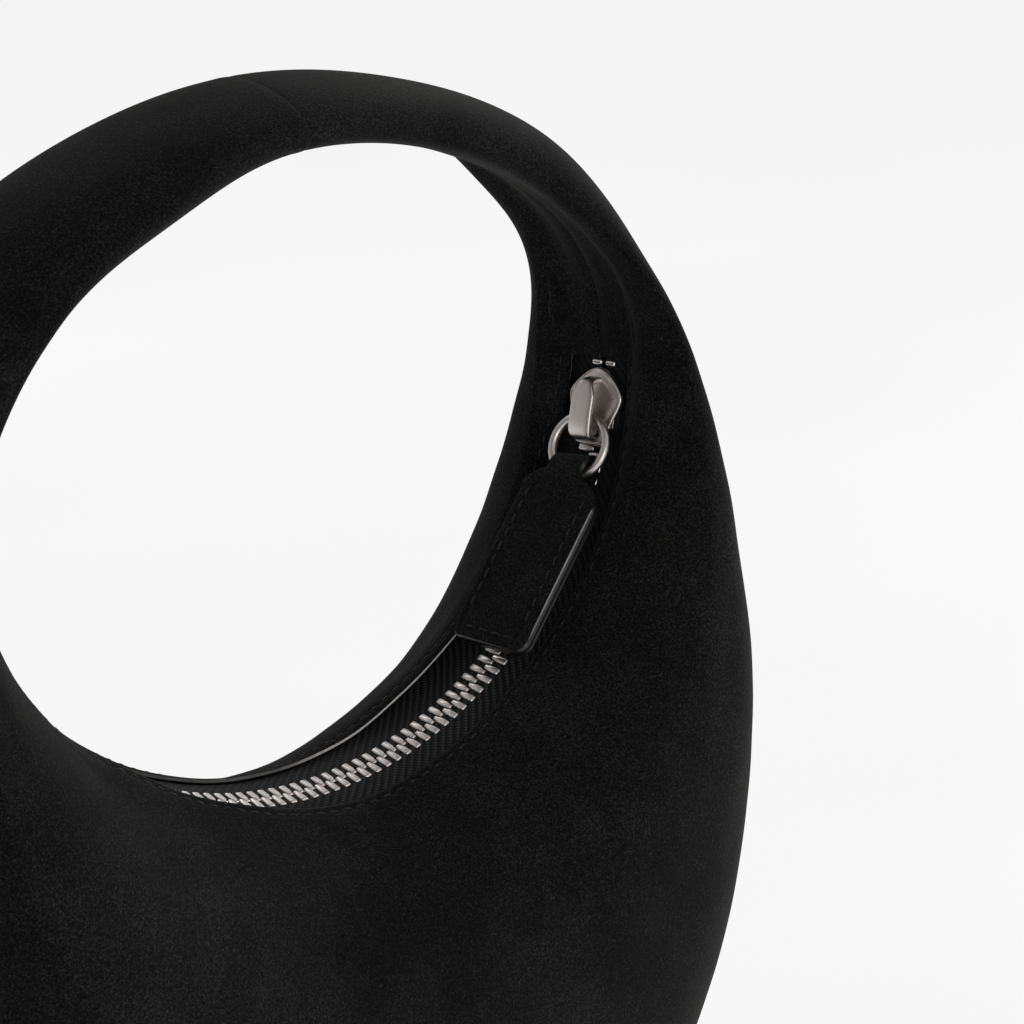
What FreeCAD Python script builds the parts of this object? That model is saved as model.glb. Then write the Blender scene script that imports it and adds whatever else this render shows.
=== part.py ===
import FreeCAD, Part
import math
import os

os.makedirs("parts", exist_ok=True)
Vector = FreeCAD.Vector

# Driving sizes of the bag, in millimetres; the arm hole is centred on the Y axis while it is built.
hole_radius = 81.5
hole_rise = 56.0
handle_thickness = 11.5
handle_half_depth = 15.0
pouch_drop = 125.0
pouch_half_depth = 42.0
thickness_growth_share = 5.2
depth_growth_share = 1.8
roundness_share = 2.3
lean_share = 0.22
lean_low_angle = -4.0
lean_high_angle = 27.0
rim_lean_angle = 20.0
valley_flat_width = 7.0
valley_half_width = 15.5
valley_end_angle = 50.0

# Soft layers.
suede_thickness = 1.6
lining_thickness = 0.5
layer_gap = 0.1
lining_gap = 0.3
seam_gap = 0.15
lining_top_angle = 16.0
core_start_angle = 16.2

# Zip fastener.
zip_rise = 5.0
zip_sink = 0.9
window_half_width = 9.5
window_start_angle = -4.7
tape_start_angle = -2.5
tape_half_width = 15.5
tape_thickness = 0.5
tape_gap = 0.2
tape_edge = 0.8
tooth_pitch = 2.9
tooth_length = 1.3
tooth_foot_length = 1.9
tooth_foot_start = 0.8
tooth_height = 2.5
tooth_reach = 0.6
tooth_leg = 3.6
tooth_slot = 0.5
tooth_neck = 0.5
teeth_start_angle = -13.1
stop_angle = -8.8
bottom_stop_angle = -170.2
stop_length = 1.5
stop_inner = 0.45
stop_outer = 3.2
bottom_stop_length = 3.0

# Slider, measured along the zip, across it and out of it.
slider_angle = -15.2
slider_length = 17.5
slider_width = 13.8
flange_width = 1.4
plate_thickness = 1.5
channel_half_height = 1.9
flange_inner = 4.3
flange_gap = 0.45
post_length = 3.0
post_width = 0.9
slider_along_shares = (-1.0, -0.86, -0.42, -0.1, 0.5, 1.0)
slider_across_shares = (0.0, 0.46, 0.97, 1.0, 0.7, 0.56)
bridge_width = 5.2
bridge_thickness = 1.4
bridge_start = -6.5
bridge_end = 7.9
bridge_foot = 1.9
bridge_heel = 3.9
bridge_slope = 2.0
bridge_round = 0.6
bridge_space = 3.6
seat_gap = 0.02

# Ring and pull tab.
ring_radius = 7.0
ring_wire = 1.0
ring_lift_angle = 14.0
tab_length = 47.0
tab_width = 20.0
tab_neck_width = 8.0
tab_neck_length = 0.8
tab_shoulder = 4.5
tab_corner = 3.0
tab_layer = 1.4
tab_loop_gap = 1.6
tab_return = 5.5
tab_angle = 28.0

# Stitches.
stitch_pitch = 3.5
stitch_length = 2.6
stitch_width = 0.6
stitch_height = 0.35
stitch_inset = 2.3
stitch_lift = 0.1

# Stations round the hole, in degrees from +X, from one side of the handle's top seam to the other.
seam_angle = 90.0
station_step = 6.0
section_points = 25

chain_depth = suede_thickness + tape_gap + tape_thickness / 2
chain_radius = hole_radius + chain_depth + zip_sink + zip_rise
ring_pivot = bridge_end - bridge_heel - bridge_space / 2.0


def sine(angle):
    return math.sin(math.radians(angle))


def cosine(angle):
    return math.cos(math.radians(angle))


def lowness(angle):
    # 0 at the handle's top, 1 at the pouch's bottom
    return (1.0 - sine(angle)) / 2.0


def inner_radius(angle):
    # half a circle below for the zip, half an ellipse above for the hand
    if sine(angle) <= 0.0:
        return hole_radius
    return 1.0 / math.hypot(cosine(angle) / hole_radius, sine(angle) / hole_rise)


def radial_thickness(angle):
    growth = lowness(angle) ** thickness_growth_share
    return handle_thickness + (pouch_drop - handle_thickness) * growth


def half_depth(angle):
    growth = lowness(angle) ** depth_growth_share
    return handle_half_depth + (pouch_half_depth - handle_half_depth) * growth


def lean(angle):
    # the front hangs lower than the back, so the zip faces up and forward
    low, high = sine(lean_low_angle), sine(lean_high_angle)
    part = max(-1.0, min(1.0, (2.0 * sine(angle) - low - high) / (high - low)))
    return lean_share * math.sin(part * math.pi / 2.0)


def rim_lean(angle):
    # the same at the outer rim, where it changes over evenly on both sides of the middle
    part = max(-1.0, min(1.0, sine(angle) / sine(rim_lean_angle)))
    return lean_share * math.sin(part * math.pi / 2.0)


def lean_at(angle, out):
    # out runs from 1 on the hole side to -1 at the outer rim
    return rim_lean(angle) + (lean(angle) - rim_lean(angle)) * (1.0 + out) / 2.0


def ease(share):
    share = max(0.0, min(1.0, share))
    return share * share * (3.0 - 2.0 * share)


def chain_reach(angle):
    # distance from the hole's centre to the zip's circle, whose own centre lies higher
    offset = zip_rise * cosine(angle)
    return zip_rise * sine(angle) + math.sqrt(chain_radius ** 2 - offset ** 2)


def valley(angle, y):
    # how far the middle of the hole side is drawn in; it follows the zip and fades up the handle
    low_angle, fade = angle, 1.0
    if sine(angle) > 0.0:
        low_angle = 0.0
        fade = ease(1.0 - sine(angle) / sine(valley_end_angle))
    depth = chain_reach(low_angle) - hole_radius - chain_depth
    across = (valley_half_width - abs(y)) / (valley_half_width - valley_flat_width)
    return depth * fade * ease(across)


def on_radius(angle, radius, depth):
    return Vector(radius * cosine(angle), depth, radius * sine(angle))


def section_point(angle, turn, inset):
    # a point of the rounded section; turn 0 is the hole side, 180 degrees the outer rim, back is positive
    reach = radial_thickness(angle) / 2.0 - inset
    depth = half_depth(angle) - inset
    power = 2.0 / roundness_share
    out = math.copysign(abs(cosine(turn)) ** power, cosine(turn))
    back = math.copysign(abs(sine(turn)) ** power, sine(turn))
    y = depth * back
    radius = inner_radius(angle) + radial_thickness(angle) / 2.0 - reach * out + lean_at(angle, out) * y
    if out > 0.0:
        radius += valley(angle, y)
    return on_radius(angle, radius, y)


def surface_radius(angle, y, inset):
    # radius of the hole side of a layer at depth y
    reach = radial_thickness(angle) / 2.0 - inset
    depth = half_depth(angle) - inset
    fall = 1.0 - (1.0 - (abs(y) / depth) ** roundness_share) ** (1.0 / roundness_share)
    tilt = lean_at(angle, 1.0 - fall)
    return inner_radius(angle) + inset + reach * fall + tilt * y + valley(angle, y)


def turn_at(angle, y, inset):
    depth = half_depth(angle) - inset
    return math.degrees(math.asin(min(1.0, (y / depth) ** (roundness_share / 2.0))))


def curve(points):
    spline = Part.BSplineCurve()
    spline.interpolate(points)
    return spline.toShape()


def layer_wire(angle, side, near, far, inset, thickness):
    # one section of a thin layer on one side, from depth near at the hole to depth far at the rim
    lines = []
    for level in (inset, inset + thickness):
        first = turn_at(angle, near, level)
        last = 180.0 - turn_at(angle, far, level)
        step = (last - first) / (section_points - 1)
        turns = [side * (first + step * i) for i in range(section_points)]
        lines.append([section_point(angle, turn, level) for turn in turns])
    outer, inner = lines
    inner.reverse()
    edges = [curve(outer), Part.makeLine(outer[-1], inner[0])]
    edges += [curve(inner), Part.makeLine(inner[-1], outer[0])]
    return Part.Wire(edges)


def band_wire(angle, side, near, far, inset, thickness):
    # one section of a thin layer that stays on the hole side, between two depths
    lines = []
    for level in (inset, inset + thickness):
        depths = [near + (far - near) * i / (section_points - 1) for i in range(section_points)]
        lines.append([on_radius(angle, surface_radius(angle, side * y, level), side * y) for y in depths])
    outer, inner = lines
    inner.reverse()
    edges = [curve(outer), Part.makeLine(outer[-1], inner[0])]
    edges += [curve(inner), Part.makeLine(inner[-1], outer[0])]
    return Part.Wire(edges)


def stations(start):
    # angles from start on the right, down round the bottom, to the same height on the left
    span = 180.0 + 2.0 * start
    count = int(math.ceil(span / station_step))
    return [start - span * i / count for i in range(count + 1)]


def arc_cutter(half_width, start_angle):
    # a block along the zip's arc, square at both ends
    low = on_radius(0.0, hole_radius - handle_thickness, -half_width)
    high = on_radius(0.0, hole_radius + handle_thickness, half_width)
    points = [low, Vector(high.x, low.y, 0), high, Vector(low.x, high.y, 0), low]
    face = Part.Face(Part.makePolygon(points))
    turn = Vector(0, 1, 0)
    cutter = face.revolve(Vector(), turn, 180.0 + 2.0 * start_angle)
    cutter.rotate(Vector(), turn, -start_angle)
    return cutter


def suede_panel(side):
    top = seam_angle - math.degrees(seam_gap / hole_rise)
    wires = [layer_wire(a, side, seam_gap, seam_gap, 0.0, suede_thickness) for a in stations(top)]
    return Part.makeLoft(wires, True).cut(arc_cutter(window_half_width, window_start_angle))


def lining(side):
    # it ends at the zip tape's outer edge
    inset = suede_thickness + lining_gap
    angles = stations(lining_top_angle)
    wires = [layer_wire(a, side, seam_gap, seam_gap, inset, lining_thickness) for a in angles]
    edge = tape_half_width + layer_gap
    end = tape_start_angle + math.degrees(layer_gap / hole_radius)
    return Part.makeLoft(wires, True).cut(arc_cutter(edge, end))


def handle_core():
    inset = suede_thickness + lining_gap
    wires = []
    span = 180.0 - 2.0 * core_start_angle
    count = int(math.ceil(span / station_step))
    for i in range(count + 1):
        angle = core_start_angle + span * i / count
        halves = []
        for side in (1, -1):
            turns = [side * 180.0 * k / (section_points - 1) for k in range(section_points)]
            halves.append([section_point(angle, t, inset) for t in turns])
        back, front = halves
        front.reverse()
        wires.append(Part.Wire([curve(back), curve(front)]))
    return Part.makeLoft(wires, True)


def zip_tape(side):
    inset = suede_thickness + tape_gap
    wires = []
    for angle in stations(tape_start_angle):
        wires.append(band_wire(angle, side, tape_edge, tape_half_width, inset, tape_thickness))
    return Part.makeLoft(wires, True)


def chain_frame(angle):
    # axes at the chain: X down the zip from its right end, Y across to the front, Z out towards the hole
    along = Vector(sine(angle), 0, -cosine(angle))
    place = on_radius(angle, chain_radius, 0) + Vector(0, 0, zip_rise)
    tilt = -lean(math.degrees(math.atan2(place.z, place.x)))
    across = Vector(tilt * cosine(angle), -1, tilt * sine(angle))
    across.normalize()
    out = along.cross(across)
    rows = []
    for name in ("x", "y", "z"):
        rows += [getattr(along, name), getattr(across, name), getattr(out, name), getattr(place, name)]
    return FreeCAD.Matrix(*rows, 0, 0, 0, 1)


def at_chain(shape, angle):
    return shape.transformed(chain_frame(angle))


def prism(points, direction):
    face = Part.Face(Part.makePolygon(points + points[:1]))
    return face.extrude(direction)


def tooth(side):
    # a narrow head across the zip's centre line and two wider legs that grip the tape's edge
    half = tooth_height / 2.0
    root = tape_edge - layer_gap
    outline = [
        (-tooth_reach, -half + tooth_neck), (-tooth_reach, half - tooth_neck), (tooth_neck, half),
        (tooth_leg, half), (tooth_leg, tooth_slot), (root, tooth_slot),
        (root, -tooth_slot), (tooth_leg, -tooth_slot), (tooth_leg, -half), (tooth_neck, -half),
    ]
    points = [Vector(-tooth_length / 2.0, side * y, z) for y, z in outline]
    shape = prism(points, Vector(tooth_length, 0, 0))
    near = min(side * tooth_foot_start, side * tooth_leg)
    for low in (tooth_slot, -half):
        corner = Vector(-tooth_foot_length / 2.0, near, low)
        foot = Part.makeBox(tooth_foot_length, tooth_leg - tooth_foot_start, half - tooth_slot, corner)
        shape = shape.fuse(foot)
    return shape.removeSplitter()


def tooth_step():
    return math.degrees(tooth_pitch / chain_radius)


def teeth(side):
    shape = tooth(-side)
    step = tooth_step()
    start = teeth_start_angle - (step / 2.0 if side > 0 else 0.0)
    end = -180.0 - teeth_start_angle
    count = int((start - end) / step)
    return Part.makeCompound([at_chain(shape, start - step * i) for i in range(count)])


def stop_block(inner, outer, side, length):
    # a clip of metal with a slot for the tape's edge
    half = tooth_height / 2.0
    root = tape_edge - layer_gap
    outline = [
        (inner, -half), (inner, half), (outer, half), (outer, tooth_slot),
        (root, tooth_slot), (root, -tooth_slot), (outer, -tooth_slot), (outer, -half),
    ]
    points = [Vector(-length / 2.0, side * y, z) for y, z in outline]
    return prism(points, Vector(length, 0, 0))


def top_stops():
    blocks = [stop_block(stop_inner, stop_outer, side, stop_length) for side in (1, -1)]
    return Part.makeCompound([at_chain(block, stop_angle) for block in blocks])


def bottom_stop():
    halves = [stop_block(0.0, stop_outer, side, bottom_stop_length) for side in (1, -1)]
    return at_chain(halves[0].fuse(halves[1]).removeSplitter(), bottom_stop_angle)


def slider_outline():
    # a shield: round throat at the top end, shoulders, then a narrower tail
    half = slider_length / 2.0
    shoulder = slider_width / 2.0
    front = [Vector(half * a, shoulder * b, 0) for a, b in zip(slider_along_shares, slider_across_shares)]
    back = [Vector(p.x, -p.y, 0) for p in reversed(front)]
    edges = [curve(front), Part.makeLine(front[-1], back[0]), curve(back)]
    return Part.Face(Part.Wire(edges))


def slider_body():
    # two plates, a pair of flanges on each that leave a slot for the tape, and a post at the throat
    plate = slider_outline().extrude(Vector(0, 0, plate_thickness))
    upper = plate.translated(Vector(0, 0, channel_half_height))
    lower = plate.translated(Vector(0, 0, -channel_half_height - plate_thickness))
    body = upper.fuse(lower)
    rim = channel_half_height + plate_thickness / 2.0
    slot = tape_thickness / 2.0 + flange_gap
    length = slider_length / 2.0
    for y in (flange_inner, -flange_inner - flange_width):
        for low in (slot, -rim):
            corner = Vector(-length / 2.0, y, low)
            body = body.fuse(Part.makeBox(length, flange_width, rim - slot, corner))
    corner = Vector(plate_thickness - length, -post_width / 2.0, -rim)
    post = Part.makeBox(post_length, post_width, 2.0 * rim, corner)
    return at_chain(body.fuse(post).removeSplitter(), slider_angle)


def plate_top():
    return channel_half_height + plate_thickness


def slider_bridge():
    # an arched strap with a foot at each end; the room for the ring is round about the ring's hinge
    base = plate_top() + seat_gap
    ceiling = base + bridge_space
    crown = ceiling + bridge_thickness
    shoulder = ceiling - bridge_thickness / 2.0
    round_end = ring_pivot_point() + Vector(bridge_space / 2.0, 0, 0)
    outline = [
        (ring_pivot, ceiling), (bridge_start + bridge_foot, ceiling), (bridge_start + bridge_foot, base),
        (bridge_start, base), (bridge_start, shoulder), (bridge_start + bridge_slope, crown),
        (bridge_end - bridge_slope, crown), (bridge_end, shoulder), (bridge_end, base), (ring_pivot, base),
    ]
    points = [Vector(x, 0, z) for x, z in outline]
    edges = [Part.makeLine(a, b) for a, b in zip(points, points[1:])]
    edges.append(Part.Arc(points[-1], round_end, points[0]).toShape())
    strap = Part.Face(Part.Wire(edges)).extrude(Vector(0, bridge_width, 0))
    strap.translate(Vector(0, -bridge_width / 2.0, 0))
    sides = [e for e in strap.Edges if e.BoundBox.ZMin > ceiling and e.BoundBox.YLength < seat_gap]
    strap = strap.makeFillet(bridge_round, sides)
    return at_chain(strap, slider_angle)


def ring_pivot_point():
    return Vector(ring_pivot, 0, plate_top() + seat_gap + bridge_space / 2.0)


def lifted(shape, angle, point):
    # turned up out of the zip about the axis across it through the point
    shape = shape.copy()
    shape.rotate(point, Vector(0, 1, 0), -angle)
    return shape


def pull_ring():
    pivot = ring_pivot_point()
    ring = Part.makeTorus(ring_radius, ring_wire)
    ring.translate(pivot + Vector(ring_radius, 0, 0))
    return at_chain(lifted(ring, ring_lift_angle, pivot), slider_angle)


def tab_pivot_point():
    reach = 2.0 * ring_radius
    pivot = ring_pivot_point()
    return pivot + Vector(reach * cosine(ring_lift_angle), 0, reach * sine(ring_lift_angle))


def tab_outline():
    # plan of the tab: a narrow neck at the ring, sloping shoulders, round lower corners
    neck = tab_neck_width / 2.0
    half = tab_width / 2.0
    loop = ring_wire + tab_loop_gap + tab_layer
    end = tab_length - loop
    right = [
        Vector(-loop, neck, 0), Vector(tab_neck_length, neck, 0), Vector(tab_shoulder, half, 0),
        Vector(end - tab_corner, half, 0),
    ]
    bend = cosine(45.0) * tab_corner
    middle = Vector(end - tab_corner + bend, half - tab_corner + bend, 0)
    last = Vector(end, half - tab_corner, 0)
    edges = [Part.makeLine(a, b) for a, b in zip(right, right[1:])]
    edges.append(Part.Arc(right[-1], middle, last).toShape())
    mirrored = [Vector(p.x, -p.y, 0) for p in right]
    low_middle = Vector(middle.x, -middle.y, 0)
    low_last = Vector(last.x, -last.y, 0)
    edges.append(Part.makeLine(last, low_last))
    edges.append(Part.Arc(low_last, low_middle, mirrored[-1]).toShape())
    edges += [Part.makeLine(a, b) for a, b in zip(mirrored[::-1], mirrored[::-1][1:])]
    edges.append(Part.makeLine(mirrored[0], right[0]))
    face = Part.Face(Part.Wire(edges))
    depth = 2.0 * loop
    return face.extrude(Vector(0, 0, 2.0 * depth)).translated(Vector(0, 0, -depth))


def tab_strip():
    # side profile of the suede layer: it lies on top, bends round the ring and ends underneath
    inner = ring_wire + tab_loop_gap
    outer = inner + tab_layer
    end = tab_length
    level = seat_gap + tab_layer
    top = [Vector(0, 0, outer), Vector(tab_return, 0, level), Vector(end, 0, level)]
    under = [Vector(end, 0, seat_gap), Vector(tab_return, 0, seat_gap), Vector(0, 0, inner)]
    back = [Vector(0, 0, -inner), Vector(tab_return, 0, -seat_gap)]
    back += [Vector(tab_return, 0, -level), Vector(0, 0, -outer)]
    edges = [Part.makeLine(a, b) for a, b in zip(top + under, (top + under)[1:])]
    edges.append(Part.Arc(under[-1], Vector(-inner, 0, 0), back[0]).toShape())
    edges += [Part.makeLine(a, b) for a, b in zip(back, back[1:])]
    edges.append(Part.Arc(back[-1], Vector(-outer, 0, 0), top[0]).toShape())
    face = Part.Face(Part.Wire(edges))
    return face.extrude(Vector(0, tab_width, 0)).translated(Vector(0, -tab_width / 2.0, 0))


def place_tab(shape):
    pivot = tab_pivot_point()
    shape = shape.translated(pivot)
    return at_chain(lifted(shape, tab_angle, pivot), slider_angle)


def tab_face():
    return place_tab(tab_strip().common(tab_outline()))


def tab_back():
    start = tab_return + seat_gap
    corner = Vector(start, -tab_width / 2.0, -seat_gap - tab_layer)
    block = Part.makeBox(tab_length, tab_width, tab_layer, corner)
    return place_tab(block.common(tab_outline()))


def stitch():
    corner = Vector(-stitch_length / 2.0, -stitch_width / 2.0, 0)
    return Part.makeBox(stitch_length, stitch_width, stitch_height, corner)


def tab_stitching():
    # two rows along the tab and one across its lower end
    height = 2.0 * seat_gap + tab_layer
    loop = ring_wire + tab_loop_gap + tab_layer
    row = tab_width / 2.0 - stitch_inset
    end = tab_length - loop - stitch_inset
    first = tab_return + stitch_length / 2.0
    count = int((end - tab_corner - first) / stitch_pitch)
    pieces = []
    for side in (1, -1):
        for i in range(count + 1):
            x = first + stitch_pitch * i
            pieces.append(stitch().translated(Vector(x, side * row, height)))
    across = int((2.0 * row - tab_corner) / stitch_pitch)
    for i in range(across + 1):
        piece = stitch()
        piece.rotate(Vector(), Vector(0, 0, 1), 90.0)
        y = stitch_pitch * (i - across / 2.0)
        pieces.append(piece.translated(Vector(end, y, height)))
    return Part.makeCompound([place_tab(piece) for piece in pieces])


def stitch_at(angle, y):
    # one stitch lying on the suede beside the window
    radius = surface_radius(angle, y, 0.0) - stitch_lift
    slope = surface_radius(angle, y - stitch_width, 0.0) - surface_radius(angle, y + stitch_width, 0.0)
    along = Vector(sine(angle), 0, -cosine(angle))
    across = Vector(slope * cosine(angle), -2.0 * stitch_width, slope * sine(angle))
    across.normalize()
    out = along.cross(across)
    place = on_radius(angle, radius, y)
    rows = []
    for name in ("x", "y", "z"):
        rows += [getattr(along, name), getattr(across, name), getattr(out, name), getattr(place, name)]
    return stitch().transformed(FreeCAD.Matrix(*rows, 0, 0, 0, 1))


def window_stitching(side):
    y = side * (window_half_width + stitch_inset)
    step = math.degrees(stitch_pitch / hole_radius)
    start = window_start_angle
    count = int((180.0 + 2.0 * start) / step)
    return Part.makeCompound([stitch_at(start - step * (i + 0.5), y) for i in range(count)])


def export(name, shape):
    # the row's origin is under the handle, where the bag hangs
    shape = shape.translated(Vector(0, 0, -hole_rise))
    shape.exportStep("parts/" + name + ".step")


export("front_panel", suede_panel(-1))
export("back_panel", suede_panel(1))
export("lining_front", lining(-1))
export("lining_back", lining(1))
export("handle_core", handle_core())
export("zip_tape_front", zip_tape(-1))
export("zip_tape_back", zip_tape(1))
export("zip_teeth_front", teeth(-1))
export("zip_teeth_back", teeth(1))
export("top_stops", top_stops())
export("bottom_stop", bottom_stop())
export("slider_body", slider_body())
export("slider_bridge", slider_bridge())
export("pull_ring", pull_ring())
export("tab_face", tab_face())
export("tab_back", tab_back())
export("tab_stitching", tab_stitching())
export("window_stitching_front", window_stitching(-1))
export("window_stitching_back", window_stitching(1))
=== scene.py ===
import math

import bmesh
import bpy
import numpy as np
from mathutils import Matrix, Vector, noise


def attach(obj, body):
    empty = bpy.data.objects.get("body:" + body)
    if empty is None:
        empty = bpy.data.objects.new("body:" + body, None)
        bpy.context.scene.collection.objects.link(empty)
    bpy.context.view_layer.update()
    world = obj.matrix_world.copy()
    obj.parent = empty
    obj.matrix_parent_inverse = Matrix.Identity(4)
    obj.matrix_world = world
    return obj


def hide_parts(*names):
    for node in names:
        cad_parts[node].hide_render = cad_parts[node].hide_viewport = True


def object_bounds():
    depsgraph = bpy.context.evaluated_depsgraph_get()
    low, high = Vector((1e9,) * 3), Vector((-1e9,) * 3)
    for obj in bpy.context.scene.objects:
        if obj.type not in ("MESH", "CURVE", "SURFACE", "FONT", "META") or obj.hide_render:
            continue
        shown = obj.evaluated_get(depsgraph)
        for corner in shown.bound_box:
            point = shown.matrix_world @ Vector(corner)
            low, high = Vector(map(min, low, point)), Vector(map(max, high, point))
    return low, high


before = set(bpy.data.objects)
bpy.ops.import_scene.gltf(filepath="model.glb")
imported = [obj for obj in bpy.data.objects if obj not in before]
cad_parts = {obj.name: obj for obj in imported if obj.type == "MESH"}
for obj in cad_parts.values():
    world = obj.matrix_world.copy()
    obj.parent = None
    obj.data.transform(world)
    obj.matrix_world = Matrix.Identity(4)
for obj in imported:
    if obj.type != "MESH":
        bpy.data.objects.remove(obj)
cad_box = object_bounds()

# Sizes of the bag in metres; the arm hole's centre lies hole_rise below the origin.
hole_radius = 0.0815
hole_rise = 0.056
handle_thickness = 0.0115
handle_half_depth = 0.015
pouch_drop = 0.125
pouch_half_depth = 0.042
thickness_growth = 5.2
depth_growth = 1.8
roundness = 2.3
lean_most = 0.22
lean_low = -4.0
lean_high = 27.0
rim_lean = 20.0
valley_flat = 0.007
valley_half = 0.0155
valley_end = 50.0
suede_thickness = 0.0016
suede_drawn = 0.42
layer_gap = 0.0001
lining_top = 16.0
lining_gap = 0.0002
lining_thickness = 0.0004
lining_sag = 0.0004
filler_end = 16.4

# Zip.
zip_rise = 0.005
zip_sink = 0.0009
window_half = 0.0095
window_start = -4.7
tape_start = -2.5
tape_half = 0.0155
tape_thickness = 0.0007
tape_edge = 0.0008
chain_depth = suede_thickness + layer_gap + tape_thickness / 2
chain_radius = hole_radius + chain_depth + zip_sink + zip_rise
tooth_pitch = 0.0029
tooth_height = 0.0025
teeth_start = -13.1
teeth_count = 82
stop_angle = -8.8
bottom_stop_angle = -170.2
stop_inner = 0.00045
stop_outer = 0.0032

# Slider, ring and tab, along the zip, across it and out of it.
slider_angle = -15.2
slider_half = 0.00875
slider_width = 0.0069
plate_low = 0.0019
plate_thickness = 0.0015
flange_inner = 0.0043
flange_width = 0.0014
flange_gap = 0.0007
post_length = 0.003
post_half = 0.00045
bridge_space = 0.0036
ring_radius = 0.007
ring_wire = 0.001
ring_pivot = 0.0022
ring_lift = 14.0
tab_length = 0.047
tab_half = 0.010
tab_neck = 0.0043
tab_neck_end = 0.0008
tab_shoulder = 0.0045
tab_corner = 0.003
tab_layer = 0.0014
tab_loop = 0.0026
tab_return = 0.0055
tab_angle = 28.0
tab_askew = 2.5
tab_edge_rise = 0.0011
tab_edge_drop = 0.0008
tab_edge_grow = 0.0006
loop_stretch = 1.35
loop_slant = 0.2

# Stitches.
stitch_pitch = 0.0035
stitch_length = 0.0027
stitch_inset = 0.0023
stitch_radius = 0.00032

# Width and length of the rectangle that each sheet is cut from.
lining_cut = (0.23, 0.26)
tape_cut = (0.0165, 0.285)

# Fuller and flatter places of the filled suede: amount in metres, then middle and spread in degrees.
rim_shoulders = (0.0032, 58, 21)
rim_left_side = (0.0034, 92, 20)
front_left_shoulder = (0.0036, 38, 24)
front_left_dip = (-0.0022, -70, 15)
back_shoulders = (0.0030, 65, 14)
low_rim_fullness = 0.0027
back_dip = 0.0020

# Lift of the window's lips off the tape.
lip_lift = 0.0003
front_lip_lift = 0.0037
back_lip_lift = 0.0024
lip_reach = 0.0055


def form(angle):
    """Inner radius, radial thickness and half depth of the bag's section at angles in degrees."""
    s, c = np.sin(np.radians(angle)), np.cos(np.radians(angle))
    low = (1 - s) / 2
    upper = 1 / np.hypot(c / hole_radius, s / hole_rise)
    inner = np.where(s <= 0, hole_radius, upper)
    thick = handle_thickness + (pouch_drop - handle_thickness) * low ** thickness_growth
    depth = handle_half_depth + (pouch_half_depth - handle_half_depth) * low ** depth_growth
    return inner, thick, depth


def lean_at(angle, out):
    """Lean of the section, where out is 1 on the hole side and -1 at the outer rim."""
    s = np.sin(np.radians(angle))
    first, last, rim = (math.sin(math.radians(a)) for a in (lean_low, lean_high, rim_lean))
    near = np.sin(np.clip((2 * s - first - last) / (last - first), -1, 1) * math.pi / 2)
    far = np.sin(np.clip(s / rim, -1, 1) * math.pi / 2)
    return lean_most * (far + (near - far) * (1 + out) / 2)


def ease(x):
    x = np.clip(x, 0, 1)
    return x * x * (3 - 2 * x)


def wrapped(angle):
    """The angle in degrees between -180 and 180."""
    return (angle + 180) % 360 - 180


def valley(angle, y):
    """How far the middle of the hole side is drawn in; it follows the zip and fades up the handle."""
    s, c = np.sin(np.radians(angle)), np.cos(np.radians(angle))
    fade = ease(1 - np.maximum(s, 0) / math.sin(math.radians(valley_end)))
    s, c = np.minimum(s, 0), np.where(s > 0, 1, c)
    reach = zip_rise * s + np.sqrt(chain_radius ** 2 - (zip_rise * c) ** 2)
    across = ease((valley_half - np.abs(y)) / (valley_half - valley_flat))
    return (reach - hole_radius - chain_depth) * fade * across


def place(angle, radius, y):
    """Points at a radius and depth round the hole's centre, in the part's frame."""
    a = np.radians(angle)
    return np.stack([radius * np.cos(a), y + 0 * radius, radius * np.sin(a) - hole_rise], -1)


def signed_power(value):
    return np.sign(value) * np.abs(value) ** (2 / roundness)


def turn_at(angle, y, inset):
    """Turn in radians at which the section reaches depth y on the hole side."""
    depth = form(angle)[2] - inset
    return np.arcsin(np.clip(y / depth, 0, 1) ** (roundness / 2))


def skin(angle, turn, side, inset):
    """Points of the rounded section; turn 0 is the hole side and pi the outer rim."""
    inner, thick, depth = form(angle)
    y = side * (depth - inset) * signed_power(np.sin(turn))
    out = signed_power(np.cos(turn))
    radius = inner + thick / 2 - (thick / 2 - inset) * out + lean_at(angle, out) * y
    return place(angle, radius + np.where(np.cos(turn) > 0, valley(angle, y), 0), y)


def hole_side_radius(angle, y, inset):
    """Radius of a layer's hole side at depth y."""
    inner, thick, depth = form(angle)
    fall = 1 - (1 - np.clip(np.abs(y) / (depth - inset), 0, 1) ** roundness) ** (1 / roundness)
    return inner + inset + (thick / 2 - inset) * fall + lean_at(angle, 1 - fall) * y + valley(angle, y)


def bell(x, width):
    return np.exp(-(x / width) ** 2)


def grid_faces(columns, rows, keep=None):
    faces = []
    for i in range(columns - 1):
        for j in range(rows - 1):
            if keep is None or keep(i, j):
                a = i * rows + j
                faces.append((a, a + 1, a + rows + 1, a + rows))
    return faces


def tube_faces(rings, sides):
    """Faces of a tube of point rings with both ends closed."""
    faces = []
    for i in range(rings - 1):
        for k in range(sides):
            j = (k + 1) % sides
            faces.append((i * sides + k, i * sides + j, (i + 1) * sides + j, (i + 1) * sides + k))
    faces.append(tuple(range(sides)))
    faces.append(tuple((rings - 1) * sides + k for k in range(sides)))
    return faces


def grid_normals(points):
    along = np.gradient(points, axis=0)
    across = np.gradient(points, axis=1)
    n = np.cross(along, across)
    return n / np.maximum(np.linalg.norm(n, axis=-1, keepdims=True), 1e-12)


def clouds(points, size, seed):
    """Smooth noise between -1 and 1 at each point."""
    flat = points.reshape(-1, 3) / size + seed
    values = [noise.noise(Vector(p)) for p in flat]
    return np.array(values).reshape(points.shape[:-1])


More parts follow.
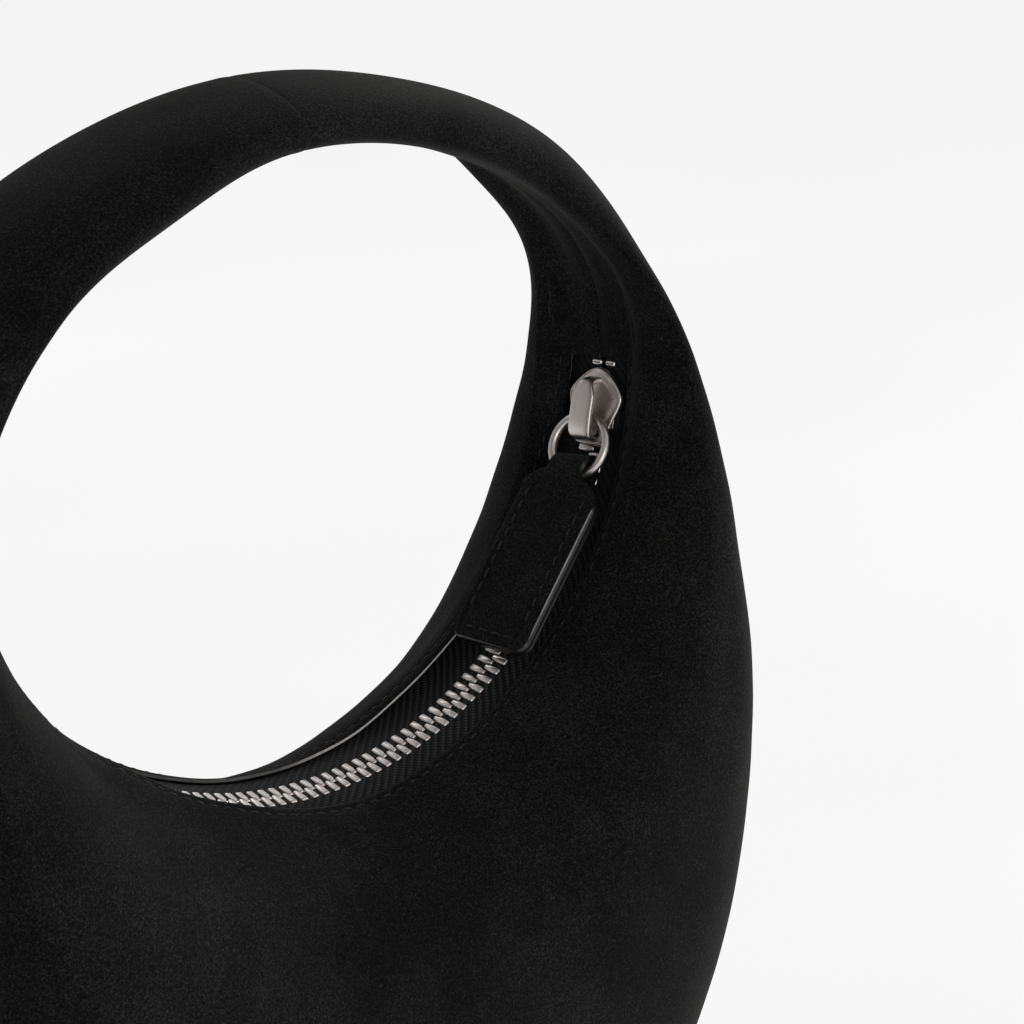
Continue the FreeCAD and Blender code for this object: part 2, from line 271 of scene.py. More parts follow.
def new_object(name, points, faces, materials, uv=None, pale=None):
    mesh = bpy.data.meshes.new(name)
    mesh.from_pydata([tuple(p) for p in np.asarray(points).reshape(-1, 3)], [], faces)
    if pale is not None:
        shade = mesh.attributes.new("pale", "FLOAT", "POINT")
        shade.data.foreach_set("value", np.asarray(pale, np.float32).ravel())
    if uv is not None:
        flat = np.asarray(uv).reshape(-1, 2)
        layer = mesh.uv_layers.new(name="cut")
        index = np.zeros(len(mesh.loops), np.int32)
        mesh.loops.foreach_get("vertex_index", index)
        layer.data.foreach_set("uv", flat[index].astype(np.float32).ravel())
    obj = bpy.data.objects.new(name, mesh)
    bpy.context.scene.collection.objects.link(obj)
    for material in materials:
        mesh.materials.append(material)
    mesh.polygons.foreach_set("use_smooth", [True] * len(mesh.polygons))
    clean(mesh)
    return obj


def clean(mesh):
    """Drops loose points and turns all faces outwards."""
    b = bmesh.new()
    b.from_mesh(mesh)
    loose = [v for v in b.verts if not v.link_faces]
    bmesh.ops.delete(b, geom=loose, context="VERTS")
    bmesh.ops.recalc_face_normals(b, faces=b.faces)
    b.to_mesh(mesh)
    b.free()


def stands_for(obj, body, slot, *nodes):
    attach(obj, body)
    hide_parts(*nodes)
    return obj


def thicken(obj, thickness, rim=0, offset=-1.0):
    mod = obj.modifiers.new("thickness", "SOLIDIFY")
    mod.thickness = thickness
    mod.offset = offset
    mod.use_even_offset = False
    mod.material_offset_rim = rim
    bpy.context.view_layer.update()
    mesh = bpy.data.meshes.new_from_object(obj.evaluated_get(bpy.context.evaluated_depsgraph_get()))
    obj.modifiers.clear()
    obj.data = mesh
    mesh.set_sharp_from_angle(angle=math.radians(50))


class Nodes:
    """Short helper to lay out one material's node tree."""

    def __init__(self, name):
        self.material = bpy.data.materials.new(name)
        self.material.use_nodes = True
        self.tree = self.material.node_tree
        self.shader = self.tree.nodes["Principled BSDF"]

    def add(self, kind, **values):
        node = self.tree.nodes.new(kind)
        for key, value in values.items():
            if hasattr(node, key):
                setattr(node, key, value)
            else:
                node.inputs[key.replace("_", " ")].default_value = value
        return node

    def link(self, a, b):
        self.tree.links.new(a, b)

    def set(self, **values):
        for key, value in values.items():
            self.shader.inputs[key.replace("_", " ")].default_value = value

    def space(self, kind="Object"):
        return self.add("ShaderNodeTexCoord").outputs[kind]

    def cloud(self, where, scale, detail=4.0, rough=0.6):
        node = self.add("ShaderNodeTexNoise", Scale=scale, Detail=detail, Roughness=rough)
        self.link(where, node.inputs["Vector"])
        return node.outputs["Fac"]

    def ramp(self, value, *stops):
        node = self.add("ShaderNodeValToRGB")
        points = node.color_ramp.elements
        while len(points) < len(stops):
            points.new(0.5)
        for point, (position, colour) in zip(points, stops):
            point.position = position
            point.color = (*colour, 1) if len(colour) == 3 else (colour[0],) * 3 + (1,)
        self.link(value, node.inputs["Fac"])
        return node.outputs["Color"]

    def math(self, operation, a, b):
        node = self.add("ShaderNodeMath", operation=operation)
        for socket, value in zip(node.inputs, (a, b)):
            if isinstance(value, (int, float)):
                socket.default_value = value
            else:
                self.link(value, socket)
        return node.outputs["Value"]

    def mix(self, factor, a, b):
        node = self.add("ShaderNodeMix", data_type="RGBA")
        self.link(factor, node.inputs["Factor"])
        for socket, value in ((node.inputs["A"], a), (node.inputs["B"], b)):
            if isinstance(value, tuple):
                socket.default_value = (*value, 1)
            else:
                self.link(value, socket)
        return node.outputs["Result"]

    def bump(self, height, strength, distance, before=None):
        node = self.add("ShaderNodeBump", Strength=strength, Distance=distance)
        self.link(height, node.inputs["Height"])
        if before is not None:
            self.link(before, node.inputs["Normal"])
        return node.outputs["Normal"]

    def colour(self, value):
        self.link(value, self.shader.inputs["Base Color"])

    def roughness(self, value):
        self.link(value, self.shader.inputs["Roughness"])

    def normal(self, value):
        self.link(value, self.shader.inputs["Normal"])


def suede_material():
    n = Nodes("suede")
    where = n.space()
    nap = n.cloud(where, 2000.0, 4.0, 0.75)
    patches = n.cloud(where, 90.0, 4.0, 0.6)
    broad = n.cloud(where, 22.0, 3.0, 0.5)
    tone = n.math("ADD", n.math("MULTIPLY", nap, 0.75), n.math("MULTIPLY", patches, 0.12))
    tone = n.math("ADD", tone, n.math("MULTIPLY", broad, 0.14))
    dark, middle, light = (0.0011, 0.0011, 0.0011), (0.0054, 0.0053, 0.0052), (0.021, 0.0203, 0.0197)
    n.colour(n.ramp(tone, (0.41, dark), (0.52, middle), (0.63, light)))
    n.set(Roughness=0.9, Specular_IOR_Level=0.05)
    n.set(Sheen_Weight=0.07, Sheen_Roughness=0.45, Sheen_Tint=(0.6, 0.58, 0.56, 1))
    fibre = n.cloud(where, 1400.0, 3.0, 0.7)
    low = n.bump(patches, 0.12, 0.0010)
    n.normal(n.bump(n.math("ADD", nap, n.math("MULTIPLY", fibre, 0.4)), 0.45, 0.0003, low))
    return n.material


def cut_edge_material():
    """Raw edge of the hide: pale in the window and dyed at the closed seams; how pale it is along the window
    is painted light, brightest along the back lip's lit stretch.
    """
    n = Nodes("cut_edge")
    where = n.space()
    grain = n.cloud(where, 900.0, 4.0, 0.65)
    raw = n.ramp(grain, (0.3, (0.42, 0.40, 0.38)), (0.7, (0.75, 0.72, 0.69)))
    dyed = n.ramp(grain, (0.3, (0.002, 0.002, 0.002)), (0.7, (0.011, 0.011, 0.011)))
    shade = n.add("ShaderNodeAttribute", attribute_name="pale")
    n.colour(n.mix(shade.outputs["Fac"], dyed, raw))
    n.set(Roughness=0.8, Specular_IOR_Level=0.15)
    n.normal(n.bump(grain, 0.4, 0.0003))
    return n.material


def ribs(n, uv, turn, pitch, wobble):
    """Evenly spaced ribs across the cloth, turned from its length by an angle."""
    mapping = n.add("ShaderNodeMapping")
    mapping.inputs["Rotation"].default_value = (0, 0, math.radians(turn))
    n.link(uv, mapping.inputs["Vector"])
    wave = n.add("ShaderNodeTexWave", wave_type="BANDS", bands_direction="X", Distortion=wobble, Detail=1.0)
    wave.inputs["Scale"].default_value = 2 * math.pi / (20 * pitch)
    n.link(mapping.outputs["Vector"], wave.inputs["Vector"])
    return wave.outputs["Fac"]


def twill_material():
    n = Nodes("zip_twill")
    uv = n.space("UV")
    rib = ribs(n, uv, -47.0, 0.00155, 0.6)
    yarn = ribs(n, uv, 43.0, 0.0008, 0.5)
    fuzz = n.cloud(uv, 1800.0, 3.0, 0.7)
    weave = n.math("MULTIPLY", rib, n.math("ADD", n.math("MULTIPLY", yarn, 0.45), 0.45))
    weave = n.math("ADD", weave, n.math("MULTIPLY", fuzz, 0.20))
    dark, middle, light = (0.0008, 0.0008, 0.001), (0.0055, 0.0055, 0.006), (0.027, 0.027, 0.0285)
    # Painted shade: the tape is drawn darker near the window's ends, where the suede and slider shade it; the
    # attribute is 1 where the tape is unshaded.
    unshaded_fac = n.add("ShaderNodeAttribute", attribute_name="pale")
    cloth = n.ramp(weave, (0.18, dark), (0.5, middle), (0.95, light))
    shaded_cloth = n.ramp(weave, (0.2, (0.0006, 0.0006, 0.0007)), (0.9, (0.0045, 0.0045, 0.0048)))
    n.colour(n.mix(unshaded_fac.outputs["Fac"], shaded_cloth, cloth))
    n.set(Roughness=0.75, Specular_IOR_Level=0.12, Sheen_Weight=0.04)
    n.normal(n.bump(weave, 0.8, 0.0004))
    return n.material


def lining_material():
    n = Nodes("lining")
    uv = n.space("UV")
    warp = n.add("ShaderNodeTexWave", wave_type="BANDS", bands_direction="X", Scale=500.0, Distortion=0.4)
    weft = n.add("ShaderNodeTexWave", wave_type="BANDS", bands_direction="Y", Scale=500.0, Distortion=0.4)
    n.link(uv, warp.inputs["Vector"])
    n.link(uv, weft.inputs["Vector"])
    weave = n.math("MULTIPLY", warp.outputs["Fac"], weft.outputs["Fac"])
    n.colour(n.ramp(weave, (0.1, (0.008, 0.008, 0.009)), (0.8, (0.035, 0.035, 0.038))))
    n.set(Roughness=0.65, Specular_IOR_Level=0.3)
    n.normal(n.bump(weave, 0.5, 0.0002))
    return n.material


def felt_material():
    n = Nodes("felt")
    where = n.space()
    wool = n.cloud(where, 700.0, 6.0, 0.7)
    n.colour(n.ramp(wool, (0.3, (0.45, 0.44, 0.41)), (0.7, (0.7, 0.69, 0.65))))
    n.set(Roughness=0.95, Specular_IOR_Level=0.1)
    n.normal(n.bump(wool, 0.6, 0.0006))
    return n.material


def metal_material(name, dark, light, rough):
    n = Nodes(name)
    where = n.space()
    grain = n.cloud(where, 1500.0, 5.0, 0.6)
    tarnish = n.cloud(where, 160.0, 4.0, 0.55)
    n.colour(n.ramp(tarnish, (0.3, dark), (0.7, light)))
    n.roughness(n.ramp(grain, (0.3, (rough - 0.06,)), (0.7, (rough + 0.08,))))
    n.set(Metallic=1.0)
    n.normal(n.bump(grain, 0.05, 0.0002))
    return n.material


def smooth_leather_material():
    n = Nodes("smooth_leather")
    where = n.space()
    cell = n.add("ShaderNodeTexVoronoi", feature="DISTANCE_TO_EDGE", Scale=900.0)
    n.link(where, cell.inputs["Vector"])
    tone = n.cloud(where, 140.0, 4.0, 0.6)
    n.colour(n.ramp(tone, (0.3, (0.003, 0.003, 0.0032)), (0.7, (0.009, 0.009, 0.0094))))
    n.set(Roughness=0.34, Specular_IOR_Level=0.4, Coat_Weight=0.3, Coat_Roughness=0.2)
    n.normal(n.bump(cell.outputs["Distance"], 0.15, 0.0002))
    return n.material


def edge_paint_material():
    """Painted edge of the tab: glossy black, with a painted highlight, a light line along its upper bend
    drawn in the base colour.
    """
    n = Nodes("edge_paint")
    where = n.space()
    tone = n.cloud(where, 260.0, 4.0, 0.6)
    paint = n.ramp(tone, (0.3, (0.0025, 0.0025, 0.0026)), (0.7, (0.006, 0.006, 0.0062)))
    # Painted highlight: the light colour drawn along the upper bend, where light catches the edge.
    painted_highlight = n.ramp(tone, (0.3, (0.30, 0.295, 0.29)), (0.7, (0.55, 0.54, 0.53)))
    shade = n.add("ShaderNodeAttribute", attribute_name="pale")
    n.colour(n.mix(shade.outputs["Fac"], paint, painted_highlight))
    n.set(Roughness=0.28, Specular_IOR_Level=0.35, Coat_Weight=0.2, Coat_Roughness=0.15)
    n.normal(n.bump(tone, 0.1, 0.0003))
    return n.material


def thread_material():
    n = Nodes("thread")
    where = n.space()
    wave = n.add("ShaderNodeTexWave", bands_direction="DIAGONAL", Scale=500.0, Distortion=1.0)
    n.link(where, wave.inputs["Vector"])
    twist = wave.outputs["Fac"]
    n.colour(n.ramp(twist, (0.2, (0.0015, 0.0015, 0.0015)), (0.8, (0.008, 0.008, 0.0083))))
    n.set(Roughness=0.55, Specular_IOR_Level=0.2)
    n.normal(n.bump(twist, 0.4, 0.0002))
    return n.material


def floor_material():
    """White studio floor, lit from within so that it stays even to the horizon."""
    n = Nodes("studio_floor")
    where = n.space()
    tone = n.cloud(where, 3.0, 2.0, 0.5)
    n.colour(n.ramp(tone, (0.3, (0.15, 0.15, 0.15)), (0.7, (0.17, 0.17, 0.17))))
    glow = n.ramp(tone, (0.3, (0.995, 0.995, 0.995)), (0.7, (1.0, 1.0, 1.0)))
    n.link(glow, n.shader.inputs["Emission Color"])
    n.set(Roughness=0.9, Specular_IOR_Level=0.0, Emission_Strength=0.81)
    return n.material


SUEDE = suede_material()
CUT_EDGE = cut_edge_material()
TWILL = twill_material()
LINING = lining_material()
FELT = felt_material()
TEETH_METAL = metal_material("zip_teeth_metal", (0.68, 0.62, 0.595), (0.80, 0.74, 0.71), 0.36)
SLIDER_METAL = metal_material("slider_metal", (0.52, 0.475, 0.45), (0.58, 0.53, 0.505), 0.32)
SMOOTH_LEATHER = smooth_leather_material()
EDGE_PAINT = edge_paint_material()
THREAD = thread_material()

# Mesh of the suede panels: degrees between columns; rows of the strip, the window's edge and the face.
panel_step = 0.75
strip_rows = 8
edge_rows = 14
face_rows = 66


def panel_rows(angle):
    """Turn of each row of a panel, from the inner seam over the window's edge to the outer seam."""
    depth = form(angle)[2]
    seam = 0.00003
    edge_width = 0.0065
    edge = np.minimum(window_edge(angle), 0.55 * depth)
    past = edge + np.minimum(edge_width, 0.26 * depth)
    rows = []
    for k in range(strip_rows):
        rows.append(turn_at(angle, seam + (edge - seam) * k / strip_rows, 0))
    for k in range(edge_rows):
        rows.append(turn_at(angle, edge + (past - edge) * k / edge_rows, 0))
    start = turn_at(angle, past, 0)
    end = math.pi - turn_at(angle, seam, 0)
    for k in range(face_rows + 1):
        rows.append(start + (end - start) * k / face_rows)
    return np.stack(rows, -1)


def in_window(angle):
    """Whether an angle lies along the zip window, and how many degrees it lies inside the window's ends."""
    from_bottom = np.abs(wrapped(angle + 90))
    half = 90 + window_start
    return (from_bottom <= half + 0.01).astype(float), half - from_bottom


def window_edge(angle):
    """Depth of the window's edge; the lips close in towards the zip's two ends."""
    return window_half - 0.0021 * bell(in_window(angle)[1], 15.0)


def swell(angle, place, weight=1):
    """A soft swelling of a given amount, middle and spread along the bag."""
    amount, middle, spread = place
    return weight * amount * bell(angle - middle, spread)


def soft_fullness(angle, turn, y, side):
    """Where the filled suede stands fuller or flatter than the plain form."""
    left_of_top = wrapped(angle - 90)
    from_top = np.abs(left_of_top)
    from_bottom = wrapped(angle + 90)
    rim = np.clip(-np.cos(turn), 0, 1)
    full = swell(from_top, rim_shoulders, rim)
    full += rim * low_rim_fullness * ease((from_top - 100) / 40)
    full += swell(left_of_top, rim_left_side, rim)
    hole_side = ease((np.cos(turn) + 0.25) / 0.5) * ease((y - 0.008) / 0.006)
    if side < 0:
        full += hole_side * (swell(left_of_top, front_left_shoulder) + swell(from_bottom, front_left_dip))
    else:
        full -= hole_side * back_dip * (bell(from_bottom + 12, 18) + bell(from_top - 92, 20))
        full += swell(from_top, back_shoulders, hole_side)
    return full


def panel_relief(points, angle, turn, side):
    """How far a panel lies off the plain form: seams, lifted lip, stitch furrow, soft dents and creases."""
    inner, _, depth = form(angle)
    y = depth * np.abs(signed_power(np.sin(turn)))
    hole_side = turn < math.pi / 2
    inside, past = in_window(angle)
    beyond = ease(-past / 4.0)
    from_bottom = wrapped(angle + 90)
    lower = np.abs(from_bottom)
    relief = np.zeros_like(turn)
    seam = -0.0005 * bell(y, 0.0010) + 0.0002 * bell(y - 0.0035, 0.0022)
    relief += np.where(hole_side, seam * beyond, 0)
    left_of_top = wrapped(angle - 90)
    top = np.radians(np.abs(left_of_top)) * inner
    overlap = np.where(left_of_top < 0, 0.0, 0.00007)
    relief += -0.00010 * bell(top, 0.0006) + overlap * bell(top - 0.0018, 0.0014)
    edge = np.maximum(y - window_edge(angle), 0)
    furrow = -0.00028 * bell(edge - stitch_inset, 0.0005) + 0.0002 * bell(edge - 0.0011, 0.0007)
    furrow -= (0.0005 if side < 0 else 0.0001) * bell(edge, 0.0008)
    if side > 0:
        raised = back_lip_lift * bell(from_bottom - 34, 17)
    else:
        raised = front_lip_lift * ease((5 - from_bottom) / 28) * ease((from_bottom + 62) / 24)
    relief += np.where(hole_side, (furrow + (lip_lift + raised) * bell(edge, lip_reach)) * inside, 0)
    dents = 0.0007 * clouds(points, 0.036, 3.1) + 0.0003 * clouds(points, 0.013, 9.7)
    relief += dents * ease(y / 0.008) * ease((150 - lower) / 90)
    relief += soft_fullness(angle, turn, y, side)
    upper = ease((lower - 84) / 10) * ease((152 - lower) / 34)
    drift = 0.0012 * clouds(points, 0.03, 6.2)
    for middle, width, size in ((0.0052, 0.0014, 0.0002), (0.0098, 0.0019, 0.00015)):
        relief -= np.where(hole_side, size * bell(y - middle - drift, width) * upper, 0)
    return relief


def suede_panel(side, name, node):
    count = int(360 / panel_step) + 1
    column = np.linspace(90, -270, count)
    first = int(np.argmin(np.abs(column - window_start)))
    last = count - 1 - first
    column[first], column[last] = window_start, -180 - window_start
    turn = panel_rows(column)
    angle = np.repeat(column[:, None], turn.shape[1], 1)
    points = skin(angle, turn, side, 0)
    normal = grid_normals(points)
    middle = skin(angle, np.full_like(turn, math.pi / 2), 0, 0)
    flip = np.sign(((points - middle) * normal).sum(-1, keepdims=True))
    points = points + normal * flip * panel_relief(points, angle, turn, side)[..., None]

    def keep(i, j):
        return j >= strip_rows or not first <= i < last

    faces = grid_faces(*turn.shape, keep)
    row = np.arange(turn.shape[1])[None]
    from_bottom = wrapped(angle + 90)
    # Paleness of the window's cut edge: the raw edge is pale, and its strength along the window is painted
    # light, full along the back lip's lit stretch and low elsewhere and on the front.
    shown = 0.15
    if side > 0:
        shown = 0.2 + 0.8 * ease((from_bottom + 4) / 12) * ease((48 - from_bottom) / 8)
    pale = np.where(row <= strip_rows, in_window(angle)[0] * shown, 0)
    obj = new_object(name, points, faces, [SUEDE, CUT_EDGE], pale=pale)
    thicken(obj, suede_thickness * suede_drawn, rim=1)
    return stands_for(obj, "bag", "suede", node)


def layer(word, kind, side, inset, thickness):
    """A thin inner layer under one panel: the zip's tape or the lining."""
    name, node, slot, material, start, rows, cut, held = kind
    count = int(180 + 2 * start) + 1
    column = np.linspace(start, -180 - start, count)
    angle, points, across = rows(column, side, inset)
    along = np.radians(90 - angle) * hole_radius
    uv = np.stack([along, across], -1)
    # Painted shade for the tape: this share falls to 0 near the window's ends, where the tape's colour is
    # drawn darker.
    unshaded_share = ease((in_window(angle)[1] - 18) / 30)
    obj = new_object(name + word, points, grid_faces(*angle.shape), [material], uv=uv, pale=unshaded_share)
    thicken(obj, thickness)
    return stands_for(obj, "bag", slot, node + word)


def tape_rows(column, side, inset):
    y = np.linspace(tape_edge, tape_half, 32)
    angle, depth = np.meshgrid(column, y, indexing="ij")
    inset = inset + np.maximum(-soft_fullness(angle, np.zeros_like(angle), depth, side), 0)
    points = place(angle, hole_side_radius(angle, side * depth, inset), side * depth)
    return angle, points, side * depth


def lining_rows(column, side, inset):
    seam = 0.0002
    edge = np.where(np.abs(column + 90) < 90 + tape_start + 0.5, tape_half + layer_gap, seam)
    start = turn_at(column, edge, inset)
    end = math.pi - turn_at(column, seam, inset)
    share = np.linspace(0, 1, 48)
    turn = start[:, None] + (end - start)[:, None] * share[None]
    angle = np.repeat(column[:, None], len(share), 1)
    depth = form(angle)[2] * np.sin(turn)
    points = skin(angle, turn, side, inset + np.maximum(-soft_fullness(angle, turn, depth, side), 0))
    sag = lining_sag * (1 + clouds(points, 0.02, 5.5))[..., None]
    points = points - sag * np.array([0, side, 0]) * np.sin(turn)[..., None]
    return angle, points, turn * form(angle)[2]


def handle_filler():
    inset = suede_thickness + layer_gap + lining_gap
    column = np.linspace(filler_end, 180 - filler_end, 120)
    turn = np.linspace(0, 2 * math.pi, 49)[:-1]
    angle, around = np.meshgrid(column, turn, indexing="ij")
    points = skin(angle, around, 1, inset)
    obj = new_object("handle_filler", points, tube_faces(len(column), len(turn)), [FELT])
    return stands_for(obj, "bag", "filler", "handle_core")


def chain_frame(angle):
    """Matrix with X down the zip, Y across to the front and Z out towards the hole."""
    a = math.radians(angle)
    along = Vector((math.sin(a), 0, -math.cos(a)))
    across = Vector((lean_most * math.cos(a), -1, lean_most * math.sin(a))).normalized()
    out = along.cross(across)
    spot = Vector((chain_radius * math.cos(a), 0, chain_radius * math.sin(a) + zip_rise - hole_rise))
    m = Matrix((along, across, out)).transposed().to_4x4()
    m.translation = spot
    return m


def moved(points, matrix):
    return [matrix @ Vector(p) for p in points]


def shrink(outline, inset):
    """The closed outline moved inwards by inset."""
    p = np.asarray(outline, float)
    tangent = np.roll(p, -1, 0) - np.roll(p, 1, 0)
    tangent /= np.linalg.norm(tangent, axis=1, keepdims=True)
    area = 0.5 * np.sum(p[:, 0] * np.roll(p[:, 1], -1) - np.roll(p[:, 0], -1) * p[:, 1])
    inward = np.stack([-tangent[:, 1], tangent[:, 0]], 1) * np.sign(area)
    return p + inward * inset


def stacked(outline, levels):
    """A closed solid whose outline is drawn in by a given inset at each height."""
    points = []
    for height, inset in levels:
        points += [(x, y, height) for x, y in shrink(outline, inset)]
    return points, tube_faces(len(levels), len(outline))


def rounded_levels(low, high, radius, steps=4):
    """Heights and insets of a block with a rounded lower edge and a raised bead round its upper edge."""
    turns = [math.pi / 2 * k / steps for k in range(steps, -1, -1)]
    bend = [(radius * (1 - math.sin(t)), radius * (1 - math.cos(t))) for t in turns]
    return [(low + rise, inset) for rise, inset in bend] + [(high - rise, inset) for rise, inset in bend]


def smooth_line(points, count, closed=False):
    """A smooth line through points, sampled evenly in its parameter."""
    p = [Vector((*q, 0)) if len(q) == 2 else Vector(q) for q in points]
    n = len(p)
    spans = n if closed else n - 1

    def get(m):
        return p[m % n] if closed else p[min(max(m, 0), n - 1)]

    out = []
    for k in range(count):
        t = k * spans / (count if closed else count - 1)
        i = min(int(t), spans - 1)
        f = t - i
        a, b, c, d = get(i - 1), get(i), get(i + 1), get(i + 2)
        bend = 2 * a - 5 * b + 4 * c - d
        twist = 3 * b - a - 3 * c + d
        out.append(0.5 * (2 * b + (c - a) * f + bend * f * f + twist * f ** 3))
    return out


def joined(name, shapes, materials):
    """One object from many point and face lists."""
    points, faces = [], []
    for p, f in shapes:
        start = len(points)
        points += [tuple(v) for v in p]
        faces += [tuple(i + start for i in face) for face in f]
    return new_object(name, np.array(points), faces, materials)


def tooth_shape(side):
    """One tooth: wide legs on the tape, a waist, and a narrower head past the centre line."""
    half = [
        (-0.62, 0.30), (-0.45, 0.52), (0.0, 0.60), (0.35, 0.64), (0.7, 0.76), (1.1, 0.84),
        (2.8, 0.86), (3.38, 0.83), (3.58, 0.66), (3.66, 0.3),
    ]
    right = [(w * 0.001, side * y * 0.001) for y, w in half]
    left = [(-x, y) for x, y in reversed(right)]
    top = tooth_height / 2
    levels = [(-top, 0.00025), (-top + 0.0003, 0), (top - 0.0007, 0)]
    levels += [(top - 0.0004, 0.00003), (top - 0.00015, 0.0001), (top, 0.00022), (top + 0.00008, 0.0004)]
    return stacked(right + left, levels)


def teeth(side, name, node):
    step = math.degrees(tooth_pitch / chain_radius)
    points, faces = tooth_shape(-side)
    start = teeth_start - (step / 2 if side > 0 else 0)
    shapes = [(moved(points, chain_frame(start - step * i)), faces) for i in range(teeth_count)]
    obj = joined(name, shapes, [TEETH_METAL])
    return stands_for(obj, "bag", "zip_metal", node)


def block_outline(length, inner, outer, corner):
    x, r = length / 2, corner
    return [
        (-x + r, inner), (x - r, inner), (x, inner + r), (x, outer - r),
        (x - r, outer), (-x + r, outer), (-x, outer - r), (-x, inner + r),
    ]


def stops():
    top = tooth_height / 2
    levels = rounded_levels(-top, top, 0.0006) + [(top + 0.00008, 0.00072)]
    shapes = []
    for low, high in ((stop_inner, stop_outer), (-stop_outer, -stop_inner)):
        points, faces = stacked(block_outline(0.0015, low, high, 0.0004), levels)
        shapes.append((moved(points, chain_frame(stop_angle)), faces))
    obj = joined("zip_top_stops", shapes, [TEETH_METAL])
    stands_for(obj, "bag", "zip_metal", "top_stops")
    points, faces = stacked(block_outline(0.003, -stop_outer, stop_outer, 0.0006), levels)
    obj = joined("zip_bottom_stop", [(moved(points, chain_frame(bottom_stop_angle)), faces)], [TEETH_METAL])
    stands_for(obj, "bag", "zip_metal", "bottom_stop")


def slider_outline():
    shares = [(-1.0, 0.0), (-0.86, 0.46), (-0.42, 0.97), (-0.1, 1.0), (0.5, 0.7), (0.92, 0.58), (1.0, 0.36)]
    front = [(a * slider_half, b * slider_width) for a, b in shares]
    back = [(x, -y) for x, y in reversed(front[1:])]
    return [(v.x, v.y) for v in smooth_line(front + back, 64, closed=True)]


def slider():
    outline = slider_outline()
    high = plate_low + plate_thickness
    dome = [(high + 0.00012, 0.0014), (high + 0.0002, 0.0026)]
    shapes = [stacked(outline, rounded_levels(plate_low, high, 0.0006) + dome)]
    shapes.append(stacked(outline, rounded_levels(-high, -plate_low, 0.0006)))
    sunk = high - 0.0004
    for y in (flange_inner, -flange_inner - flange_width):
        block = block_outline(slider_half, y, y + flange_width, 0.0003)
        shapes.append(stacked(block, rounded_levels(flange_gap, sunk, 0.0002)))
        shapes.append(stacked(block, rounded_levels(-sunk, -flange_gap, 0.0002)))
    post = block_outline(post_length, -post_half, post_half, 0.0002)
    post = [(x - slider_half + plate_thickness + post_length / 2, y) for x, y in post]
    shapes.append(stacked(post, rounded_levels(-sunk, sunk, 0.0002)))
    m = chain_frame(slider_angle)
    obj = joined("slider_casting", [(moved(p, m), f) for p, f in shapes], [SLIDER_METAL])
    return stands_for(obj, "slider", "zip_metal", "slider_body")


def swept(path, widths, thicknesses, sides=20):
    """A strap along a line in the XZ plane, with a rounded rectangular section across Y."""
    points = []
    count = len(path)
    for i, p in enumerate(path):
        t = (path[min(i + 1, count - 1)] - path[max(i - 1, 0)]).normalized()
        up = Vector((-t.z, 0, t.x))
        for k in range(sides):
            a = 2 * math.pi * (k + 0.5) / sides
            c, s = math.cos(a), math.sin(a)
            y = widths[i] / 2 * math.copysign(abs(c) ** 0.45, c)
            z = thicknesses[i] / 2 * math.copysign(abs(s) ** 0.45, s)
            points.append(p + Vector((0, y, 0)) + up * z)
    return points, tube_faces(count, sides)


def bridge():
    """Arched strap; its narrow foot stands at the throat and its broad end bends down over the ring."""
    base = plate_low + plate_thickness
    crown = base + bridge_space + 0.0008
    corners = [
        (-0.0060, 0, base - 0.0001), (-0.0059, 0, base + 0.0018), (-0.0053, 0, crown - 0.0009),
        (-0.0036, 0, crown - 0.0001), (0, 0, crown + 0.0001), (0.0044, 0, crown),
        (0.0065, 0, crown - 0.0007), (0.0072, 0, base + 0.0020), (0.0072, 0, base - 0.0001),
    ]
    count = 64
    path = smooth_line(corners, count)
    broad = [float(ease((p.x + 0.0062) / 0.004)) for p in path]
    widths = [0.0028 + 0.0030 * b for b in broad]
    points, faces = swept(path, widths, [0.0014] * count)
    obj = joined("slider_bridge_strap", [(moved(points, chain_frame(slider_angle)), faces)], [SLIDER_METAL])
    return stands_for(obj, "slider", "zip_metal", "slider_bridge")


def pivot_matrix():
    """Frame at the ring's hinge under the bridge, turned up by the ring's lift."""
    point = Vector((ring_pivot, 0, plate_low + plate_thickness + 0.00002 + bridge_space / 2))
    turn = Matrix.Rotation(-math.radians(ring_lift), 4, "Y")
    return chain_frame(slider_angle) @ Matrix.Translation(point) @ turn


def ring():
    points, faces = [], []
    count, sides = 96, 18
    for i in range(count):
        a = 2 * math.pi * i / count
        out = Vector((math.cos(a), math.sin(a), 0))
        for k in range(sides):
            b = 2 * math.pi * k / sides
            centre = Vector((ring_radius, 0, ring_wire * math.sin(b)))
            points.append(out * (ring_radius + ring_wire * math.cos(b)) + centre)
    for i in range(count):
        for k in range(sides):
            j, n = (k + 1) % sides, (i + 1) % count
            faces.append((i * sides + k, n * sides + k, n * sides + j, i * sides + j))
    obj = joined("pull_ring_wire", [(moved(points, pivot_matrix()), faces)], [SLIDER_METAL])
    return stands_for(obj, "ring", "zip_metal", "pull_ring")


def tab_matrix():
    """Frame at the ring's far side, with X down the tab and Z out of its face."""
    turn = Matrix.Rotation(-math.radians(tab_angle - ring_lift), 4, "Y")
    askew = Matrix.Rotation(-math.radians(tab_askew), 4, "Z")
    level = pivot_matrix() @ Matrix.Translation(Vector((2 * ring_radius, 0, 0)))
    return level @ turn @ askew


def tab_end():
    return tab_length - tab_loop - tab_layer


def tab_half_width(x):
    """Half width of the tab at a distance from the ring."""
    end = tab_end()
    share = min(max((x - tab_neck_end) / (tab_shoulder - tab_neck_end), 0), 1)
    half = tab_neck + (tab_half - tab_neck) * math.sin(share * math.pi / 2)
    over = x - (end - tab_corner)
    if over > 0:
        half = tab_half - tab_corner + math.sqrt(max(tab_corner ** 2 - over ** 2, 0))
    return half


def tab_crown(x):
    """Height of the tab's upper layer, slightly fuller at the middle."""
    return tab_layer / 2 + 0.00003 + 0.0003 * max(math.sin(math.pi * min(x / tab_end(), 1)), 0) ** 0.7


